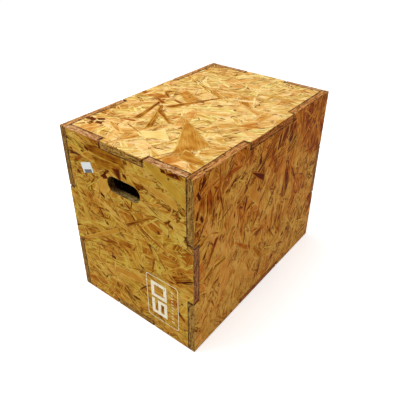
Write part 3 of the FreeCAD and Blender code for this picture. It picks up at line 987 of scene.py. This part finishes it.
class PLYO_OT_end_boards(bpy.types.Operator):
    """Models the front and rear boards, with tabs in their upright edges and a hand slot"""

    bl_idname = "plyo.end_boards"
    bl_label = "End boards"

    def execute(self, context):
        sizes = context.scene.plyo_sizes
        lines = (sizes.height_tab / 2, sizes.width_tab / 2 + sizes.finger_gap)
        for node in ("front_panel", "rear_panel"):
            make_board(context, node, lines, (False, True), size_of(node).y / 2 - sizes.slot_drop)
        return {"FINISHED"}


class PLYO_OT_side_boards(bpy.types.Operator):
    """Models the left and right boards, notched in the middle of each edge"""

    bl_idname = "plyo.side_boards"
    bl_label = "Side boards"

    def execute(self, context):
        sizes = context.scene.plyo_sizes
        lines = (sizes.height_tab / 2 + sizes.finger_gap, sizes.depth_tab / 2 + sizes.finger_gap)
        for node in ("left_side_panel", "right_side_panel"):
            make_board(context, node, lines, (True, True))
        return {"FINISHED"}


class PLYO_OT_centre_brace(bpy.types.Operator):
    """Gives the brace inside the box its raw strand board"""

    bl_idname = "plyo.centre_brace"
    bl_label = "Centre brace"

    def execute(self, context):
        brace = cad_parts["centre_brace"]
        turn = Euler((math.radians(90), 0, 0)).to_matrix().to_4x4()
        tint = context.scene.plyo_colours.front_tint
        brace.data.materials.clear()
        brace.data.materials.append(strand_board_material("Raw strand board, brace", turn, tint, BRACE_WOOD))
        return {"FINISHED"}


class PLYO_OT_nails(bpy.types.Operator):
    """Models a nail and drives a copy where each nail of the frame is"""

    bl_idname = "plyo.nails"
    bl_label = "Nails"

    # Length of the point in widths of the shank, and the share of the width that is left at its tip.
    POINT = 2.2
    TIP = 0.12
    # Shares of the crown's height, in steps from the rim of the head to its middle.
    CROWN_STEPS = (0.7, 0.3)

    def execute(self, context):
        sizes = context.scene.plyo_sizes
        steel = steel_material(context.scene.plyo_colours.steel)
        for panel in BOARDS:
            node = panel.replace("side_panel", "side_nails") if "side" in panel else f"{panel}_nails"
            place = place_of(panel)
            nail = self.model_nail(sizes)
            copies = []
            for head in self.heads(node, place, sizes):
                choose(nail)
                bpy.ops.object.duplicate()
                context.object.location = head
                copies.append(context.object)
            group = join(copies)
            bpy.data.objects.remove(nail)
            group.data.materials.append(steel)
            settle(group, f"{node}_driven", place)
            bpy.ops.object.shade_smooth_by_angle(angle=SMOOTH_NAIL)
            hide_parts(node)
            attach(group, "root")
        return {"FINISHED"}

    def heads(self, node, place, sizes):
        """Middles of the nail heads of a node in its board's face, on the bench."""
        back = place.inverted()
        heads = []
        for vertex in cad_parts[node].data.vertices:
            point = back @ vertex.co
            if point.z < -sizes.nail_head_depth / 2:
                continue
            point.z = 0
            near = [head for head in heads if (head[0] - point).length < 2 * sizes.nail_head]
            if near:
                near[0].append(point)
            else:
                heads.append([point])
        if not heads:
            raise RuntimeError(f"{node} has no nail heads in its board's face")
        return [Vector([(min(axis) + max(axis)) / 2 for axis in zip(*head)]) for head in heads]

    def model_nail(self, sizes):
        """A nail that points down, with its head in the board's face and a low crown on it."""
        depth = sizes.nail_head_depth
        nail = new_piece(
            bpy.ops.mesh.primitive_cylinder_add, vertices=12, radius=sizes.nail_head / 2, depth=depth,
            location=(0, 0, -depth / 2),
        )
        mode("EDIT")
        pick("faces", lambda f: f.normal.z < -FACING)
        bpy.ops.mesh.inset(thickness=(sizes.nail_head - sizes.nail_shank) / 2)
        point = self.POINT * sizes.nail_shank
        extrude((0, 0, depth + point - sizes.nail_length))
        extrude((0, 0, -point))
        bpy.ops.transform.resize(value=(self.TIP, self.TIP, 1))
        pick("faces", lambda f: f.normal.z > FACING)
        for share in self.CROWN_STEPS:
            bpy.ops.mesh.inset(thickness=sizes.nail_head / 2 / (len(self.CROWN_STEPS) + 1))
            bpy.ops.transform.translate(value=(0, 0, sizes.nail_crown * share))
        mode("OBJECT")
        return nail


class PLYO_OT_label(bpy.types.Operator):
    """Models the paper label near the top left of the front, bare but for a grey band"""

    bl_idname = "plyo.label"
    bl_label = "Blank label"

    CORNER = 1.2 * MM
    FILM = 0.2 * MM
    ABOVE_BOARD = 0.05 * MM
    # The lower right corner has begun to lift: how far from it, and how high.
    LIFTS = ((9 * MM, 0.15 * MM), (5 * MM, 0.25 * MM))
    # The grey band: its low and high side from the lower edge, and its ends from the sides.
    BAND = (1.5 * MM, 7 * MM, 4 * MM)

    def execute(self, context):
        sizes, colours = context.scene.plyo_sizes, context.scene.plyo_colours
        front = size_of("front_panel")
        size = (sizes.label_length, sizes.label_height, 1)
        label = new_piece(bpy.ops.mesh.primitive_grid_add, size, x_subdivisions=8, y_subdivisions=6, size=1)
        half = Vector((sizes.label_length / 2, sizes.label_height / 2, 0))
        mode("EDIT")
        pick("verts", lambda v: abs(v.co.x) > half.x - TINY and abs(v.co.y) > half.y - TINY)
        bpy.ops.mesh.bevel(offset=self.CORNER, segments=3, affect="VERTICES")
        corner = Vector((half.x, -half.y))
        for reach, lift in self.LIFTS:
            pick("verts", lambda v: (v.co.xy - corner).length < reach)
            bpy.ops.transform.translate(value=(0, 0, lift))
        mode("OBJECT")
        film = label.modifiers.new("Film", "SOLIDIFY")
        film.thickness = self.FILM
        film.offset = 1
        apply_modifiers(label)
        label.data.materials.append(paper_material("Label paper", colours.paper))
        label.data.materials.append(paper_material("Grey print", colours.print_grey))
        low, high, end = self.BAND
        for face in label.data.polygons:
            in_band = low < face.center.y + half.y < high and abs(face.center.x) < half.x - end
            face.material_index = int(in_band and face.normal.z > FACING)
        label.rotation_euler.z = sizes.label_tilt
        label.location = (sizes.label_inset - front.x / 2, front.y / 2 - sizes.label_drop, self.ABOVE_BOARD)
        settle(label, "blank_label_paper", place_of("front_panel"))
        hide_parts("blank_label")
        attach(label, "root")
        return {"FINISHED"}


class PLYO_OT_number_mark(bpy.types.Operator):
    """Models the painted jump height on the front, with its frame and a row of ticks"""

    bl_idname = "plyo.number_mark"
    bl_label = "Number mark"

    # The digits on a square grid of cells, as rows from the top.
    GRID = 5
    DIGITS = {
        "6": ("11111", "10000", "11111", "10001", "11111"),
        "0": ("11111", "10001", "10001", "10001", "11111"),
    }
    # Frame of the mark on the front: left, right, low and high from the lower middle of the board, in mm.
    FRAME = (50, 152, 40, 185)
    FRAME_CORNER = 9 * MM
    FILM = 0.12 * MM
    # From the frame's middle to the digits and to the ticks, and from digit to digit, in strokes of a digit.
    DIGITS_AT, TICKS_AT, DIGIT_STEP = -1.1, 2.9, 5.8
    # Ticks on each side of the middle one. Length of a long and of a short tick and their width, in strokes.
    TICKS = 5
    LONG_TICK, SHORT_TICK, TICK_LINE = 0.9, 0.5, 0.2

    def execute(self, context):
        sizes, colours = context.scene.plyo_sizes, context.scene.plyo_colours
        front = size_of("front_panel")
        paint = paint_material(colours.paint)
        cell = sizes.mark_cell
        left, right, low, high = (v * MM for v in self.FRAME)
        middle = Vector(((left + right) / 2, (low + high) / 2 - front.y / 2, 0))
        pieces = [self.frame_ring(right - left, high - low, sizes.mark_line)]
        pieces[0].location = middle
        for i, digit in enumerate("60"):
            piece = self.digit(self.DIGITS[digit], cell)
            piece.rotation_euler.z = math.pi / 2
            piece.location = middle + cell * Vector((self.DIGITS_AT, (i - 0.5) * self.DIGIT_STEP, 0))
            pieces.append(piece)
        pieces.append(self.ticks(cell))
        pieces[-1].location = middle + cell * Vector((self.TICKS_AT, 0, 0))
        mark = join(pieces)
        mode("EDIT")
        pick_all()
        extrude((0, 0, self.FILM))
        pick_all()
        bpy.ops.mesh.normals_make_consistent(inside=False)
        mode("OBJECT")
        mark.data.materials.append(paint)
        settle(mark, "number_mark", place_of("front_panel"))
        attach(mark, "root")
        return {"FINISHED"}

    def frame_ring(self, wide, high, line):
        """A rectangle with round corners, inset by its line and opened."""
        ring = new_piece(bpy.ops.mesh.primitive_plane_add, (wide, high, 1), size=1)
        mode("EDIT")
        pick_all()
        bpy.ops.mesh.bevel(offset=self.FRAME_CORNER, segments=6, affect="VERTICES")
        pick_all()
        bpy.ops.mesh.inset(thickness=line)
        bpy.ops.mesh.delete(type="ONLY_FACE")
        mode("OBJECT")
        return ring

    def digit(self, rows, cell):
        """A digit cut out of a grid of cells."""
        n = self.GRID
        piece = new_piece(bpy.ops.mesh.primitive_grid_add, x_subdivisions=n, y_subdivisions=n, size=n * cell)
        mode("EDIT")

        def bare(face):
            middle = face.calc_center_median()
            column, row = math.floor(n / 2 + middle.x / cell), math.floor(n / 2 - middle.y / cell)
            return rows[row][column] == "0"

        pick("faces", bare)
        bpy.ops.mesh.delete(type="FACE")
        pick_all()
        bpy.ops.mesh.dissolve_limited(angle_limit=ONE_FACE)
        mode("OBJECT")
        return piece

    def ticks(self, cell):
        """A plain row of ticks along the number, a long one at each end and in the middle."""
        marks = []
        for i in range(-self.TICKS, self.TICKS + 1):
            tall = cell * (self.SHORT_TICK if i % self.TICKS else self.LONG_TICK)
            size = (tall, self.TICK_LINE * cell, 1)
            at = (tall / 2, i * cell, 0)
            marks.append(new_piece(bpy.ops.mesh.primitive_plane_add, size, size=1, location=at))
        return join(marks)


class PLYO_OT_stage(bpy.types.Operator):
    """Sets up the pale floor, the soft lamps and the camera"""

    bl_idname = "plyo.stage"
    bl_label = "Stage"

    FLOOR_SIZE = 12
    # The floor is a little lower than the box, so that the two don't touch.
    FLOOR_HEIGHT = -0.3 * MM
    LAMP_SIZE = 1.6
    KEY_PLACE = (-0.6, -0.4, 2.6)
    FILL_PLACE = (-1.9, -2.1, 1.1)
    BOX_MIDDLE = (0, 0, 0.25)

    def execute(self, context):
        scene, stage = context.scene, context.scene.plyo_stage
        at = (0, 0, self.FLOOR_HEIGHT)
        floor = new_piece(bpy.ops.mesh.primitive_plane_add, size=self.FLOOR_SIZE, location=at)
        floor.name = floor.data.name = "studio_floor"
        floor.data.materials.append(self.floor_material(scene.plyo_colours.floor, stage.glow))
        self.room_light(scene, stage.sky)
        self.lamp("Key lamp", stage.key_power, self.KEY_PLACE)
        self.lamp("Fill lamp", stage.fill_power, self.FILL_PLACE)
        camera = bpy.data.objects.new("Camera", bpy.data.cameras.new("Camera"))
        scene.collection.objects.link(camera)
        turn = Euler((math.pi / 2 - stage.elevation, 0, stage.azimuth)).to_matrix()
        turn = turn @ Matrix.Rotation(stage.roll, 3, "Z")
        place = Vector((stage.camera_x, stage.camera_y, stage.camera_z))
        camera.matrix_world = Matrix.Translation(place) @ turn.to_4x4()
        camera.data.sensor_width = 36
        camera.data.lens = stage.lens
        camera.data.shift_x = stage.shift_x
        camera.data.shift_y = stage.shift_y
        scene.camera = camera
        scene.view_settings.view_transform = "Standard"
        return {"FINISHED"}

    def lamp(self, name, power, place):
        """A square soft lamp that faces the box."""
        data = bpy.data.lights.new(name, "AREA")
        data.energy = power
        data.size = self.LAMP_SIZE
        lamp = bpy.data.objects.new(name, data)
        bpy.context.scene.collection.objects.link(lamp)
        lamp.location = place
        aim = Vector(self.BOX_MIDDLE) - lamp.location
        lamp.rotation_euler = aim.to_track_quat("-Z", "Y").to_euler()

    def seen(self, tree):
        """One where the camera looks, also through a mirror or a glass."""
        rays = add_node(tree, "LightPath").outputs
        seen = rays["Is Camera Ray"]
        for other in ("Is Glossy Ray", "Is Transmission Ray"):
            seen = add_node(tree, "Math", (seen, rays[other]), "MAXIMUM")
        return seen

    def floor_material(self, shade, glow):
        """Seamless white paper that bounces light on the box, white to the camera but for a soft shadow."""
        material = bpy.data.materials.new("Seamless paper")
        material.use_nodes = True
        tree = material.node_tree
        tree.nodes.clear()
        matt = add_node(tree, "BsdfDiffuse", ((*shade, 1.0),))
        part = add_node(tree, "Math", (self.seen(tree), glow), "MULTIPLY")
        white = add_node(tree, "Emission", ((1, 1, 1, 1), part))
        add_node(tree, "OutputMaterial", (add_node(tree, "AddShader", (matt, white)),))
        return material

    def room_light(self, scene, strength):
        """Even light from all round, white to the camera."""
        scene.world = bpy.data.worlds.new("Studio")
        scene.world.use_nodes = True
        tree = scene.world.node_tree
        tree.nodes.clear()
        level = add_node(tree, "MapRange", (self.seen(tree), 0.0, 1.0, strength, 1.0))
        back = add_node(tree, "Background", ((1, 1, 1, 1), level))
        add_node(tree, "OutputWorld", (back,))


class PLYO_PT_box(bpy.types.Panel):
    """Lists the steps that build the plyo box"""

    bl_idname = "PLYO_PT_box"
    bl_label = "Plyo box"
    bl_space_type = "VIEW_3D"
    bl_region_type = "UI"
    bl_category = "Plyo box"

    def draw(self, context):
        for step in STEPS:
            self.layout.operator(step.bl_idname)
        for group in (context.scene.plyo_sizes, context.scene.plyo_colours, context.scene.plyo_stage):
            for name in group.__annotations__:
                self.layout.prop(group, name)


STEPS = (
    PLYO_OT_landing_boards,
    PLYO_OT_end_boards,
    PLYO_OT_side_boards,
    PLYO_OT_centre_brace,
    PLYO_OT_nails,
    PLYO_OT_label,
    PLYO_OT_number_mark,
    PLYO_OT_stage,
)
GROUPS = {"plyo_sizes": PlyoSizes, "plyo_colours": PlyoColours, "plyo_stage": PlyoStage}
CLASSES = (*GROUPS.values(), *STEPS, PLYO_PT_box)


def register():
    for kind in CLASSES:
        bpy.utils.register_class(kind)
    for name, kind in GROUPS.items():
        setattr(bpy.types.Scene, name, PointerProperty(type=kind))


def unregister():
    for name in GROUPS:
        delattr(bpy.types.Scene, name)
    for kind in reversed(CLASSES):
        bpy.utils.unregister_class(kind)


def main():
    """Builds the box piece by piece."""
    register()
    for step in STEPS:
        family, name = step.bl_idname.split(".")
        getattr(getattr(bpy.ops, family), name)()


if __name__ == "__main__":
    main()
